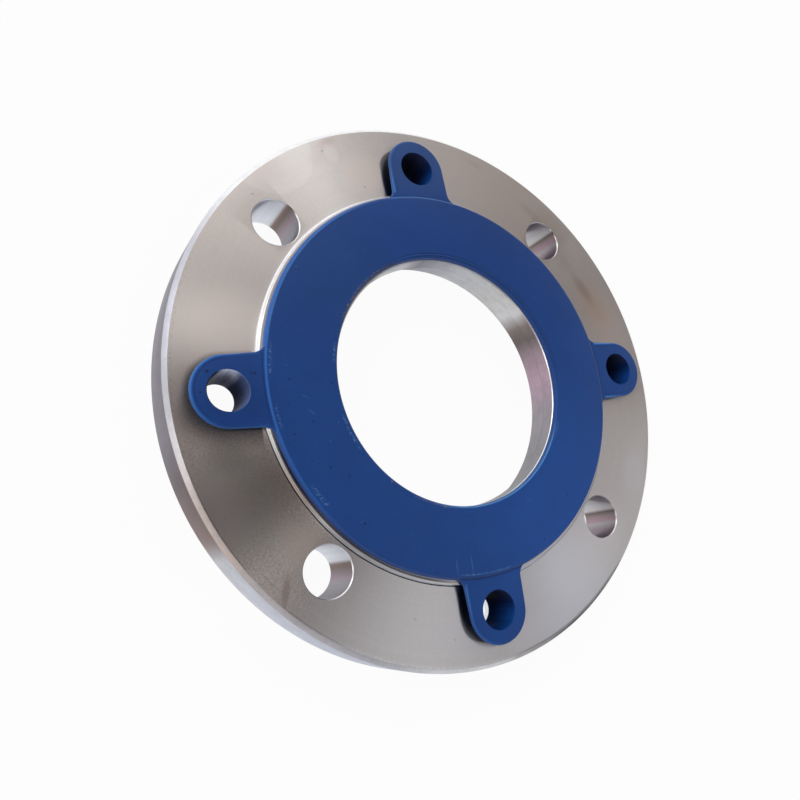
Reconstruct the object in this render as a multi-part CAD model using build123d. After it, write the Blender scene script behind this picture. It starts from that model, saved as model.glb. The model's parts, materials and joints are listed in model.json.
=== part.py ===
from build123d import *
import os

os.makedirs("parts", exist_ok=True)

# Socket weld flange, DN 100 for PN 10 / PN 16, with the plastic protector on its face.
# The part lies on its back face: Z = 0 is the back, +Z is the way the sealing face looks,
# the bore runs along Z and +X goes through one of the plugged bolt holes.

# Pipe that the flange is welded to
pipe_diameter = 108.0
pipe_wall = 4.0                # the flow bore is as wide as the pipe's own bore

# Socket for the pipe, in the back of the flange
socket_clearance = 1.0         # pipe to socket wall, on the radius
socket_depth = 15.0
socket_root_radius = 0.6
socket_mouth_chamfer = 0.8
bore_end_chamfer = 0.4         # where the flow bore meets the shoulder that the pipe butts on
bore_mouth_chamfer = 0.5

# Raised sealing face
face_diameter = 158.0
face_height = 2.0
face_edge_chamfer = 0.3
face_foot_radius = 0.9         # tool nose at the foot of the raised face

# Bolt holes
bolt_hole_diameter = 18.0
bolt_hole_count = 8
bolt_hole_chamfer = 0.35
face_to_hole = 2.0             # raised face to the nearest point of a hole

# Flange disc
disc_thickness = 20.0          # back face to bolt face
hole_to_rim = 11.0             # hole edge to the rim of the disc
front_rim_chamfer = 1.6
back_rim_chamfer = 1.9

# Protector ring, lying on the raised face
ring_set_in = 1.4              # ring edge inside the edge of the raised face
ring_bore_margin = 0.4         # ring bore wider than the flow bore, on the radius
ring_thickness = 2.4
ring_outer_radius = 1.6        # rounding of the ring's outer top edge
ring_inner_radius = 1.0

# Protector ears, one over every second bolt hole
holes_per_ear = 2
ear_rim = 4.2                  # ear edge outside the plug
ear_flare = 0.5                # ear wider at the ring than at the plug, on each side
ear_lift = 0.7                 # underside of the ear above the raised face
ear_thickness = 1.25
ear_edge_radius = 0.8
ear_root_radius = 4.7          # in plan, where an ear leaves the ring
ear_root_inset = 0.3           # ear outline runs on inside the rounded edge of the ring

# Protector plugs: hollow, tapered, open at both ends
plug_clearance = 0.5           # plug to hole wall at the root, on the radius
settled_gap = 0.1              # what is left of it where the loose protector has settled to
settled_towards = 135.0        # direction in which it has settled, in degrees from +X
plug_wall = 1.5
plug_length = 15.2             # below the underside of the ear
plug_taper = 0.7               # loss of radius from root to tip
plug_tip_radius = 0.35
plug_root_radius = 0.4
plug_mouth_radius = 0.3

# Levels, radii and pitches that follow from the sizes above
face_level = disc_thickness + face_height
bore_radius = pipe_diameter / 2 - pipe_wall
socket_radius = pipe_diameter / 2 + socket_clearance
face_radius = face_diameter / 2
hole_radius = bolt_hole_diameter / 2
bolt_circle_radius = face_radius + face_to_hole + hole_radius
flange_radius = bolt_circle_radius + hole_radius + hole_to_rim
hole_pitch = 360.0 / bolt_hole_count
ear_pitch = hole_pitch * holes_per_ear
ear_count = bolt_hole_count // holes_per_ear
ring_radius = face_radius - ring_set_in
ring_bore_radius = bore_radius + ring_bore_margin
plug_root = hole_radius - plug_clearance
plug_tip = plug_root - plug_taper
ear_radius = plug_root + ear_rim
ear_level = face_level + ear_lift
settled = plug_clearance - settled_gap


def turned(points):
    """Solid of revolution about Z from (radius, height) points."""
    with BuildPart() as part:
        with BuildSketch(Plane.XZ):
            with BuildLine():
                Polyline(*points, close=True)
            make_face()
        revolve(axis=Axis.Z)
    return part.part


def rings_at(solid, radius, height):
    """Circular edges of one radius at one height, on the bore axis or off it."""
    return [
        edge for edge in solid.edges().filter_by(GeomType.CIRCLE)
        if abs(edge.radius - radius) < 1e-4 and abs(edge.center().Z - height) < 1e-4
    ]


def make_flange_body():
    body = turned([
        (socket_radius, 0),
        (flange_radius, 0),
        (flange_radius, disc_thickness),
        (face_radius, disc_thickness),
        (face_radius, face_level),
        (bore_radius, face_level),
        (bore_radius, socket_depth),
        (socket_radius, socket_depth),
    ])
    body = chamfer(rings_at(body, flange_radius, disc_thickness), front_rim_chamfer)
    body = chamfer(rings_at(body, flange_radius, 0), back_rim_chamfer)
    body = chamfer(rings_at(body, socket_radius, 0), socket_mouth_chamfer)
    body = chamfer(rings_at(body, bore_radius, face_level), bore_mouth_chamfer)
    body = chamfer(rings_at(body, bore_radius, socket_depth), bore_end_chamfer)
    body = chamfer(rings_at(body, face_radius, face_level), face_edge_chamfer)
    body = fillet(rings_at(body, face_radius, disc_thickness), face_foot_radius)
    body = fillet(rings_at(body, socket_radius, socket_depth), socket_root_radius)

    # Bolt holes, with a broken edge at both ends
    drill = Pos(0, 0, disc_thickness / 2) * Cylinder(hole_radius, disc_thickness)
    sink_top = Pos(0, 0, disc_thickness - bolt_hole_chamfer / 2) * Cone(
        hole_radius, hole_radius + bolt_hole_chamfer, bolt_hole_chamfer)
    sink_back = Pos(0, 0, bolt_hole_chamfer / 2) * Cone(
        hole_radius + bolt_hole_chamfer, hole_radius, bolt_hole_chamfer)
    cutter = drill + sink_top + sink_back
    for index in range(bolt_hole_count):
        body -= Rot(0, 0, index * hole_pitch) * Pos(bolt_circle_radius, 0, 0) * cutter
    return body


def protector_ring():
    ring = turned([
        (ring_bore_radius, face_level),
        (ring_radius, face_level),
        (ring_radius, face_level + ring_thickness),
        (ring_bore_radius, face_level + ring_thickness),
    ])
    ring = fillet(rings_at(ring, ring_radius, face_level + ring_thickness), ring_outer_radius)
    return fillet(rings_at(ring, ring_bore_radius, face_level + ring_thickness), ring_inner_radius)


def protector_ears():
    """The plate that the ears belong to: it runs on inside the ring, below its rounded edge."""
    plate_radius = ring_radius - ear_root_inset
    sides_at_axis = ear_radius + ear_flare * bolt_circle_radius / (bolt_circle_radius - ring_radius)
    ear_outline = make_hull([
        Pos(bolt_circle_radius, 0) * Edge.make_circle(ear_radius),
        Edge.make_line((0, -sides_at_axis), (0, sides_at_axis)),
    ])
    with BuildPart() as plate:
        with BuildSketch(Plane.XY.offset(ear_level)) as outline:
            Circle(plate_radius)
            for index in range(ear_count):
                add(Rot(0, 0, index * ear_pitch) * ear_outline)
            root_corners = [
                corner for corner in outline.vertices()
                if abs(Vector(corner.X, corner.Y, 0).length - plate_radius) < 1e-4
            ]
            fillet(root_corners, ear_root_radius)
            Circle((ring_radius + ring_bore_radius) / 2, mode=Mode.SUBTRACT)
        extrude(amount=ear_thickness)
        top = plate.faces().sort_by(Axis.Z)[-1]
        fillet(top.outer_wire().edges(), ear_edge_radius)
    return plate.part


def tapered(root, tip, height):
    """Round taper from the tip of a plug up past its root, to a height above the ear's underside."""
    slope = (root - tip) / plug_length
    return Pos(0, 0, ear_level + (height - plug_length) / 2) * Cone(
        tip, root + slope * height, plug_length + height)


def make_face_protector():
    inner_root = plug_root - plug_wall
    inner_tip = plug_tip - plug_wall
    outside = tapered(plug_root, plug_tip, 0)
    inside = tapered(inner_root, inner_tip, ear_thickness)
    places = [
        Rot(0, 0, index * ear_pitch) * Pos(bolt_circle_radius, 0, 0)
        for index in range(ear_count)
    ]
    cover = protector_ring() + protector_ears()
    for place in places:
        cover += place * outside
    for place in places:
        cover -= place * inside
    cover = fillet(rings_at(cover, plug_root, ear_level), plug_root_radius)
    cover = fillet(rings_at(cover, plug_tip, ear_level - plug_length), plug_tip_radius)
    mouth = inner_root + ear_thickness * (inner_root - inner_tip) / plug_length
    cover = fillet(rings_at(cover, mouth, ear_level + ear_thickness), plug_mouth_radius)
    return Pos(Vector(settled, 0, 0).rotate(Axis.Z, settled_towards)) * cover


nodes = {
    "flange_body": make_flange_body(),
    "face_protector": make_face_protector(),
}
for name, solid in nodes.items():
    export_step(solid, f"parts/{name}.step")
    print(name, "volume", round(solid.volume), "mm3")
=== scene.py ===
import json
import math
import bpy
from mathutils import Matrix, Vector


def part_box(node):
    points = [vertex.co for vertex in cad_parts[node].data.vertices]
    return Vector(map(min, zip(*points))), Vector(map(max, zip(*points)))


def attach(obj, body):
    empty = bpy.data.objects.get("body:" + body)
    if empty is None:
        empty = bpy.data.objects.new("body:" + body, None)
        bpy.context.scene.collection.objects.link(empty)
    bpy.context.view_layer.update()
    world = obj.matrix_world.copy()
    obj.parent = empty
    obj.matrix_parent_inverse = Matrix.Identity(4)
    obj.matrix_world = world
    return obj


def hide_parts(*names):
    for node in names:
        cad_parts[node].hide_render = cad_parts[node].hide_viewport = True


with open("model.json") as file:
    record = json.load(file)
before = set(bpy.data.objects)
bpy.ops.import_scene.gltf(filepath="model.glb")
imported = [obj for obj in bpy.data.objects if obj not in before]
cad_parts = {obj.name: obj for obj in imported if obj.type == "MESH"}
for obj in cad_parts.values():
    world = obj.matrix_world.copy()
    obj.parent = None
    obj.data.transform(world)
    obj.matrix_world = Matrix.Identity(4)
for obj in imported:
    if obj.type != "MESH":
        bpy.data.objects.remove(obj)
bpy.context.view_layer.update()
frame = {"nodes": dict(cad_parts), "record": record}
mm = 0.001
nearAxis = 0.001 * mm        # as close to the axis as a turned outline goes
spare = 1 * mm               # how far a cutting tool reaches past what it cuts
print("frame loaded:", ", ".join(sorted(frame["nodes"])))

# places that the frame already knows
mounts = {mount["name"]: mount for mount in frame["record"]["mounts"]}
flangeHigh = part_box("flange_body")[1]
protectorLow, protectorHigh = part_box("face_protector")
boltHoles = mounts["open_bolt_holes"]["dims"]
pitchRadius = boltHoles["spacing_x_mm"] * mm / math.sqrt(2)
holeRadius = boltHoles["hole_r_mm"] * mm
holeCount = 2 * boltHoles["count"]


# drawing with the pen: a vertex is pulled along lines and round corners

def penTo(pen, point):
    if pen is None:
        bpy.ops.transform.translate(value=point)
    elif (point - pen).length > 1e-7:
        bpy.ops.mesh.extrude_region_move(TRANSFORM_OT_translate={"value": point - pen})
    return point


def drawOutline(name, corners, axis, arcDegrees=15):
    # corners are (point, rounding radius), and the outline closes on itself
    bpy.ops.object.select_all(action="DESELECT")
    bpy.ops.mesh.primitive_plane_add(size=0.01, location=(0, 0, 0))
    piece = bpy.context.object
    piece.name = name
    piece.data.name = name
    bpy.ops.object.mode_set(mode="EDIT")
    bpy.ops.mesh.merge(type="CENTER")
    pen = None
    start = None
    for index, (corner, radius) in enumerate(corners):
        toLast = (corners[index - 1][0] - corner).normalized()
        toNext = (corners[(index + 1) % len(corners)][0] - corner).normalized()
        if radius == 0:
            pen = penTo(pen, corner)
            start = start or pen
            continue
        half = toLast.angle(toNext) / 2
        reach = radius / math.tan(half)
        centre = corner + (toLast + toNext).normalized() * radius / math.sin(half)
        pen = penTo(pen, corner + toLast * reach)
        start = start or pen
        turn = math.pi - 2 * half
        if toLast.cross(toNext).dot(axis) < 0:
            turn = -turn
        steps = max(2, round(abs(math.degrees(turn)) / arcDegrees))
        bpy.ops.mesh.spin(steps=steps, angle=turn, center=centre, axis=axis)
        pen = corner + toNext * reach
    penTo(pen, start)
    bpy.ops.mesh.select_all(action="SELECT")
    bpy.ops.mesh.remove_doubles(threshold=1e-6)
    return piece


def lathe(name, profile, steps, arcDegrees=15):
    # profile is (radius, height, rounding), all in metres, turned about the bore axis
    corners = [(Vector((radius, 0, height)), rounding) for radius, height, rounding in profile]
    piece = drawOutline(name, corners, Vector((0, 1, 0)), arcDegrees)
    bpy.ops.mesh.select_all(action="SELECT")
    bpy.ops.mesh.spin(steps=steps, angle=2 * math.pi, center=(0, 0, 0), axis=(0, 0, 1))
    tidyShell()
    return piece


def tidyShell():
    bpy.ops.mesh.select_all(action="SELECT")
    bpy.ops.mesh.remove_doubles(threshold=1e-6)
    bpy.ops.mesh.normals_make_consistent(inside=False)
    bpy.ops.object.mode_set(mode="OBJECT")


def activate(piece):
    bpy.ops.object.select_all(action="DESELECT")
    piece.select_set(True)
    bpy.context.view_layer.objects.active = piece


def combine(piece, tool, operation):
    activate(piece)
    bpy.ops.object.modifier_add(type="BOOLEAN")
    modifier = piece.modifiers[-1]
    modifier.object = tool
    modifier.operation = operation
    modifier.solver = "EXACT"
    bpy.ops.object.modifier_apply(modifier=modifier.name)
    bpy.data.objects.remove(tool)


def moveInto(piece, offset):
    # the place goes into the mesh, and the object stays at the origin
    activate(piece)
    piece.location = offset
    bpy.ops.object.transform_apply(location=True, rotation=True, scale=True)


def copyRound(piece, angles):
    # copies of a tool turned about the bore axis, joined into one
    copies = []
    for angle in angles:
        activate(piece)
        bpy.ops.object.duplicate()
        turned = bpy.context.object
        turned.rotation_euler.z = math.radians(angle)
        bpy.ops.object.transform_apply(location=True, rotation=True, scale=True)
        copies.append(turned)
    bpy.data.objects.remove(piece)
    activate(copies[0])
    for turned in copies:
        turned.select_set(True)
    bpy.ops.object.join()
    return bpy.context.object


def smooth(piece, degrees):
    activate(piece)
    bpy.ops.object.shade_smooth_by_angle(angle=math.radians(degrees))


# the flange: turned, then drilled

flange = {
    "discRadius": flangeHigh.x,
    "boltFace": 20 * mm,
    "sealingFace": flangeHigh.z,
    "faceRadius": 79 * mm,
    "faceEdge": 0.3 * mm,
    "faceFoot": 0.9 * mm,
    "frontChamfer": 1.6 * mm,
    "backChamfer": 1.9 * mm,
    "edgeSoftness": 0.18 * mm,
    "boreRadius": 50 * mm,
    "boreMouth": 0.5 * mm,
    "boreEnd": 0.4 * mm,
    "socketRadius": mounts["pipe_socket"]["dims"]["r_mm"] * mm,
    "socketDepth": 15 * mm,
    "socketRoot": 0.6 * mm,
    "socketMouth": 0.8 * mm,
    "holeChamfer": 0.35 * mm,
    "turns": 360,
    "holeSides": 96,
}


def makeFlange(size):
    rim = size["discRadius"]
    bolt = size["boltFace"]
    top = size["sealingFace"]
    bore = size["boreRadius"]
    socket = size["socketRadius"]
    front = size["frontChamfer"]
    back = size["backChamfer"]
    soft = size["edgeSoftness"]
    mouth = size["socketMouth"]
    piece = lathe("steel_flange", [
        (socket + mouth, 0, 0),
        (rim - back, 0, soft),
        (rim, back, soft),
        (rim, bolt - front, soft),
        (rim - front, bolt, soft),
        (size["faceRadius"], bolt, size["faceFoot"]),
        (size["faceRadius"], top, size["faceEdge"]),
        (bore + size["boreMouth"], top, 0),
        (bore, top - size["boreMouth"], 0),
        (bore, size["socketDepth"] + size["boreEnd"], 0),
        (bore + size["boreEnd"], size["socketDepth"], 0),
        (socket, size["socketDepth"], size["socketRoot"]),
        (socket, mouth, 0),
    ], size["turns"])
    # a drill with a countersink at each end, longer than the disc is thick
    sink = size["holeChamfer"]
    drill = lathe("drill", [
        (nearAxis, -spare, 0),
        (holeRadius + sink + spare, -spare, 0),
        (holeRadius, sink, 0),
        (holeRadius, bolt - sink, 0),
        (holeRadius + sink + spare, bolt + spare, 0),
        (nearAxis, bolt + spare, 0),
    ], size["holeSides"])
    moveInto(drill, (pitchRadius, 0, 0))
    drills = copyRound(drill, [360 / holeCount * index for index in range(holeCount)])
    combine(piece, drills, "DIFFERENCE")
    smooth(piece, 28)
    return piece


steelFlange = makeFlange(flange)
print("flange:", len(steelFlange.data.polygons), "faces")


# the face protector: a ring, four ears and their plugs, moulded in one

protector = {
    "seat": flangeHigh.z,
    "settled": (-0.283 * mm, 0.283 * mm, 0),     # the loose cover lies a little off centre
    "ringTop": protectorHigh.z,
    "ringRadius": 77.6 * mm,
    "ringBore": 50.4 * mm,
    "outerEdge": 1.6 * mm,
    "innerEdge": 1.0 * mm,
    "lowerEdge": 0.15 * mm,
    "earLift": 0.7 * mm,
    "earRadius": 12.7 * mm,
    "earThickness": 1.25 * mm,
    "earEdge": 0.8 * mm,
    "earInset": 0.3 * mm,
    "earInside": 12 * mm,                        # how far the ear's plate runs on inside the ring
    "earRoot": 4.7 * mm,
    "earRootSpread": 6 * mm,
    "sidesAtAxis": 16.33 * mm,                   # the ear's sides close in from here to the plug
    "plugRoot": holeRadius - 0.5 * mm,
    "plugTip": holeRadius - 1.2 * mm,
    "plugWall": 1.5 * mm,
    "plugEnd": protectorLow.z,
    "plugEdge": 0.35 * mm,
    "plugFoot": 0.4 * mm,
    "mouthEdge": 0.3 * mm,
    "turns": 360,
    "plugSides": 96,
}


def makeEar(size):
    # a plate from inside the ring, with sides that close in on the round end about the plug
    radius = size["earRadius"]
    start = size["sidesAtAxis"]
    lean = math.acos(radius / math.hypot(start, pitchRadius)) - math.atan2(pitchRadius, start)

    def sideAt(x):
        return Vector((x, start - x * math.tan(lean), 0))

    ringEdge = size["ringRadius"] - size["earInset"]
    root = sideAt(math.sqrt(ringEdge ** 2 - radius ** 2))
    root = sideAt(math.sqrt(ringEdge ** 2 - root.y ** 2))
    spread = math.atan2(root.y, root.x) + size["earRootSpread"] / ringEdge
    flare = Vector((ringEdge * math.cos(spread), ringEdge * math.sin(spread), 0))
    upper = [
        (Vector((size["ringRadius"] - size["earInside"], flare.y, 0)), 0),
        (flare, 0),
        (root, size["earRoot"]),
        (sideAt(pitchRadius + radius), radius * 0.9999),     # the two rounds don't quite meet
    ]
    lower = [(Vector((point.x, -point.y, 0)), rounding) for point, rounding in reversed(upper)]
    piece = drawOutline("ear", upper + lower, Vector((0, 0, 1)), 5)
    bpy.ops.mesh.edge_face_add()
    bpy.ops.mesh.extrude_region_move(
        TRANSFORM_OT_translate={"value": (0, 0, size["earThickness"])})
    bpy.ops.mesh.region_to_loop()
    bpy.ops.mesh.bevel(offset=size["earEdge"], segments=6, affect="EDGES")
    bpy.ops.mesh.select_all(action="SELECT")
    bpy.ops.transform.translate(value=(0, 0, size["seat"] + size["earLift"]))
    tidyShell()
    return piece


def makeProtector(size):
    seat = size["seat"]
    earUnder = seat + size["earLift"]
    earTop = earUnder + size["earThickness"]
    end = size["plugEnd"]
    piece = lathe("moulded_protector", [
        (size["ringBore"], seat, size["lowerEdge"]),
        (size["ringRadius"], seat, size["lowerEdge"]),
        (size["ringRadius"], size["ringTop"], size["outerEdge"]),
        (size["ringBore"], size["ringTop"], size["innerEdge"]),
    ], size["turns"], 12)
    quarters = [0, 90, 180, 270]
    combine(piece, copyRound(makeEar(size), quarters), "UNION")
    # the plug's head lies inside the ear, a hair above its underside
    core, headRadius = 0.5 * mm, size["plugRoot"] + 1 * mm
    headFoot, headTop = earUnder + 0.02 * mm, earUnder + 0.5 * mm
    plug = lathe("plug", [
        (core, end, 0),
        (size["plugTip"], end, size["plugEdge"]),
        (size["plugRoot"], headFoot, size["plugFoot"]),
        (headRadius, headFoot, 0),
        (headRadius, headTop, 0),
        (core, headTop, 0),
    ], size["plugSides"])
    moveInto(plug, (pitchRadius, 0, 0))
    combine(piece, copyRound(plug, quarters), "UNION")
    # the hollow keeps the plug's taper, and widens a little at its mouth
    taper = (size["plugRoot"] - size["plugTip"]) / (earUnder - end)
    inTip = size["plugTip"] - size["plugWall"]
    inMouth = inTip + taper * (earTop - end)
    flare = size["mouthEdge"]
    hollow = lathe("hollow", [
        (nearAxis, end - spare, 0),
        (inTip, end - spare, 0),
        (inTip, end, 0),
        (inMouth, earTop - flare, flare),
        (inMouth + flare, earTop, 0),
        (inMouth + flare, earTop + spare, 0),
        (nearAxis, earTop + spare, 0),
    ], size["plugSides"])
    moveInto(hollow, (pitchRadius, 0, 0))
    combine(piece, copyRound(hollow, quarters), "DIFFERENCE")
    moveInto(piece, size["settled"])
    smooth(piece, 32)
    return piece


mouldedProtector = makeProtector(protector)
print("protector:", len(mouldedProtector.data.polygons), "faces")

for piece, node, finish in (
    (steelFlange, "flange_body", "flange_steel"),
    (mouldedProtector, "face_protector", "protector_plastic"),
):
    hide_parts(node)
    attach(piece, "root")


# helpers for nodes

def addNode(tree, kind, values=None, **settings):
    # a value is either a constant or the output of another node
    made = tree.nodes.new("ShaderNode" + kind)
    for name, value in settings.items():
        setattr(made, name, value)
    for name, value in (values or {}).items():
        if isinstance(value, bpy.types.NodeSocket):
            tree.links.new(value, made.inputs[name])
        else:
            made.inputs[name].default_value = value
    return made


def maths(tree, operation, *values):
    return addNode(tree, "Math", dict(enumerate(values)), operation=operation).outputs[0]


def minus(tree, first, second):
    return maths(tree, "SUBTRACT", first, second)


def times(tree, product, *others):
    for value in others:
        product = maths(tree, "MULTIPLY", product, value)
    return product


def length(tree, x, y):
    return maths(tree, "SQRT", maths(tree, "ADD", times(tree, x, x), times(tree, y, y)))


def bearing(tree, x, y):
    return maths(tree, "DEGREES", maths(tree, "ARCTAN2", y, x))


def angleFrom(tree, angle, start):
    # degrees from a starting line, between -180 and 180
    return maths(tree, "WRAP", minus(tree, angle, start), 180, -180)


def angleOff(tree, angle, middle):
    # degrees to either side of a middle line
    return maths(tree, "ABSOLUTE", angleFrom(tree, angle, middle))


def rise(tree, value, low, high, start=0, end=1):
    # a soft step from start to end while the value goes from low to high
    return addNode(tree, "MapRange", {
        "Value": value, "From Min": low, "From Max": high, "To Min": start, "To Max": end,
    }, interpolation_type="SMOOTHSTEP").outputs["Result"]


def split(tree, vector):
    return addNode(tree, "SeparateXYZ", {0: vector}).outputs


def scaled(tree, vector, factor):
    # a place made larger, or a colour made lighter or darker
    return addNode(tree, "VectorMath", {0: vector, "Scale": factor}, operation="SCALE").outputs[0]


def vectors(tree, operation, first, second):
    return addNode(tree, "VectorMath", {0: first, 1: second}, operation=operation).outputs[0]


def blendColour(tree, share, first, second, mode="MIX"):
    made = addNode(tree, "Mix", {0: share}, data_type="RGBA", blend_type=mode, clamp_factor=True)
    for index, value in ((6, first), (7, second)):
        if isinstance(value, tuple):
            made.inputs[index].default_value = (*value, 1)
        else:
            tree.links.new(value, made.inputs[index])
    return made.outputs[2]


def addRamp(tree, value, stops, low=-180, high=180):
    # colour stops at values between low and high
    share = addNode(tree, "MapRange", {"Value": value, "From Min": low, "From Max": high})
    ramp = addNode(tree, "ValToRGB", {0: share.outputs["Result"]})
    elements = ramp.color_ramp.elements
    while len(elements) < len(stops):
        elements.new(0.5)
    for element, (at, colour) in zip(elements, stops):
        element.position = (at - low) / (high - low)
        element.color = (*colour, 1)
    return ramp.outputs[0]


def addNoise(tree, place, scale, detail, roughness):
    return addNode(tree, "TexNoise", {
        "Vector": place, "Scale": scale, "Detail": detail, "Roughness": roughness}).outputs[0]


def newGroup(name, inputs, outputs):
    # a socket is a vector where its value is one, and otherwise a number
    tree = bpy.data.node_groups.new(name, "ShaderNodeTree")
    for side, sockets in (("INPUT", inputs), ("OUTPUT", outputs)):
        for label, value in sockets.items():
            kind = "NodeSocketVector" if isinstance(value, tuple) else "NodeSocketFloat"
            socket = tree.interface.new_socket(label, in_out=side, socket_type=kind)
            socket.default_value = value
    return tree, tree.nodes.new("NodeGroupInput").outputs


def closeGroup(tree, **results):
    made = tree.nodes.new("NodeGroupOutput")
    for label, value in results.items():
        tree.links.new(value, made.inputs[label])


def useGroup(tree, name, values):
    return addNode(tree, "Group", values, node_tree=bpy.data.node_groups[name]).outputs


# effects that the finishes share

origin = (0, 0, 0)


def makePolarPlace():
    # radius and height in millimetres, angle in degrees about the bore axis
    tree, given = newGroup("polarPlace", {"Point": origin, "Centre": origin}, {
        "Radius": 0, "Angle": 0, "Height": 0, "Millimetres": origin})
    point = scaled(tree, given["Point"], 1 / mm)
    x, y, height = split(tree, vectors(tree, "SUBTRACT", point, given["Centre"]))
    closeGroup(tree, Radius=length(tree, x, y), Angle=bearing(tree, x, y), Height=height,
               Millimetres=point)


def aboutOne(tree, noise, strength):
    return maths(tree, "MULTIPLY_ADD", minus(tree, noise, 0.5), strength, 1)


def makeFineGrain():
    # soft mottle about 1, in grains of the given size
    tree, given = newGroup(
        "fineGrain", {"Point": origin, "Size": 0.6, "Strength": 0.1}, {"Tone": 1, "Height": 0})
    noise = addNoise(tree, given["Point"], maths(tree, "DIVIDE", 1, given["Size"]), 3, 0.6)
    closeGroup(tree, Tone=aboutOne(tree, noise, given["Strength"]), Height=noise)


def makeToolMarks():
    # lines that the tool left: fine across their pitch, long around the part
    tree, given = newGroup(
        "toolMarks", {"Across": 0, "Around": 0, "Pitch": 0.4, "Strength": 0.1},
        {"Tone": 1, "Height": 0})
    place = addNode(tree, "CombineXYZ", {
        0: maths(tree, "DIVIDE", given["Across"], given["Pitch"]),
        1: times(tree, given["Around"], 0.045)}).outputs[0]
    fine = addNoise(tree, place, 1, 2, 0.5)
    wide = addNoise(tree, place, 0.21, 1, 0.5)
    both = maths(tree, "MULTIPLY_ADD", wide, 0.6, times(tree, fine, 0.4))
    closeGroup(tree, Tone=aboutOne(tree, both, given["Strength"]), Height=both)


def makeSparseSpecks():
    # small round specks, one in some of the cells
    tree, given = newGroup(
        "sparseSpecks", {"Point": origin, "Spacing": 4, "Size": 0.3, "Chance": 0.4}, {"Mask": 0})
    cells = addNode(tree, "TexVoronoi", {
        "Vector": given["Point"], "Scale": maths(tree, "DIVIDE", 1, given["Spacing"])}).outputs
    draws = addNode(tree, "SeparateColor", {0: cells["Color"]}).outputs
    size = times(tree, maths(tree, "DIVIDE", given["Size"], given["Spacing"]),
                 maths(tree, "MULTIPLY_ADD", draws[1], 0.8, 0.4))
    dot = rise(tree, cells["Distance"], 0, size, 1, 0)
    picked = maths(tree, "LESS_THAN", draws[0], given["Chance"])
    closeGroup(tree, Mask=times(tree, dot, picked))


def makeArcMark():
    # a line that runs round the part: a scratch, a scuffed edge or a stained band
    tree, given = newGroup("arcMark", {
        "Point": origin, "Radius": 0, "Angle": 0, "At": 80, "Thickness": 0.5, "Middle": 0,
        "Reach": 10, "Breakup": 0}, {"Mask": 0})
    off = maths(tree, "ABSOLUTE", minus(tree, given["Radius"], given["At"]))
    line = rise(tree, off, 0, given["Thickness"], 1, 0)
    turn = angleOff(tree, given["Angle"], given["Middle"])
    span = rise(tree, turn, times(tree, given["Reach"], 0.6), given["Reach"], 1, 0)
    flecks = rise(tree, addNoise(tree, given["Point"], 1.1, 4, 0.7), 0.5, 0.6)
    broken = maths(tree, "MULTIPLY_ADD", minus(tree, flecks, 1), given["Breakup"], 1)
    closeGroup(tree, Mask=times(tree, line, span, broken))


def makeSoftSpot():
    # a soft patch about one place, longer one way than the other
    tree, given = newGroup("softSpot", {
        "Point": origin, "Place": origin, "Stretch": (5, 5, 5), "Turn": 0, "Core": 0.1},
        {"Mask": 0})
    turned = addNode(tree, "VectorRotate", {
        "Vector": vectors(tree, "SUBTRACT", given["Point"], given["Place"]),
        "Angle": times(tree, given["Turn"], -1)}, rotation_type="Z_AXIS").outputs[0]
    fitted = vectors(tree, "DIVIDE", turned, given["Stretch"])
    distance = addNode(tree, "VectorMath", {0: fitted}, operation="LENGTH").outputs["Value"]
    closeGroup(tree, Mask=rise(tree, distance, given["Core"], 1, 1, 0))


def makeEarPlace():
    # angle about the nearest plug, and distance from the middle line of its ear
    tree, given = newGroup(
        "earPlace", {"Point": origin, "Centre": origin, "Pitch": 90}, {"Turn": 0, "Across": 0})
    parts = split(tree, vectors(tree, "SUBTRACT", given["Point"], given["Centre"]))
    sizes = [maths(tree, "ABSOLUTE", part) for part in parts[:2]]
    alongX = maths(tree, "GREATER_THAN", sizes[0], sizes[1])
    local = []
    for axis, share in ((0, alongX), (1, minus(tree, 1, alongX))):
        plug = times(tree, share, given["Pitch"], maths(tree, "SIGN", parts[axis]))
        local.append(minus(tree, parts[axis], plug))
    past = minus(tree, maths(tree, "MAXIMUM", *sizes), given["Pitch"])
    reach = length(tree, maths(tree, "MAXIMUM", past, 0), maths(tree, "MINIMUM", *sizes))
    closeGroup(tree, Turn=bearing(tree, *local), Across=reach)


for makeEffect in (makePolarPlace, makeFineGrain, makeToolMarks, makeSparseSpecks, makeArcMark,
                   makeSoftSpot, makeEarPlace):
    makeEffect()
print("effects:", ", ".join(group.name for group in bpy.data.node_groups))


# finishes

def newFinish(name, values, centre=origin):
    material = bpy.data.materials.new(name)
    material.use_nodes = True
    tree = material.node_tree
    shader = tree.nodes["Principled BSDF"]
    for label, value in values.items():
        shader.inputs[label].default_value = value
    point = addNode(tree, "TexCoord").outputs["Object"]
    polar = useGroup(tree, "polarPlace", {"Point": point, "Centre": centre})
    return material, tree, shader, polar


def addGrain(tree, polar, size, strength):
    return useGroup(tree, "fineGrain", {
        "Point": polar["Millimetres"], "Size": size, "Strength": strength})


def addLines(tree, across, around, pitch, strength):
    return useGroup(tree, "toolMarks", {
        "Across": across, "Around": around, "Pitch": pitch, "Strength": strength})


def addSpot(tree, polar, place, stretch, turn=0, core=0.1):
    return useGroup(tree, "softSpot", {
        "Point": polar["Millimetres"], "Place": place, "Stretch": stretch,
        "Turn": math.radians(turn), "Core": core})[0]


def addMarks(tree, polar, colour, marks):
    # each mark lays its own colour over what is below it
    for kind, tint, share, *place in marks:
        if kind == "arc":
            labels = ("At", "Thickness", "Middle", "Reach", "Breakup")
            mask = useGroup(tree, "arcMark", {
                "Point": polar["Millimetres"], "Radius": polar["Radius"],
                "Angle": polar["Angle"], **dict(zip(labels, place))})[0]
        else:
            mask = addSpot(tree, polar, *place)
        colour = blendColour(tree, times(tree, mask, share), colour, tint)
    return colour


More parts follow.
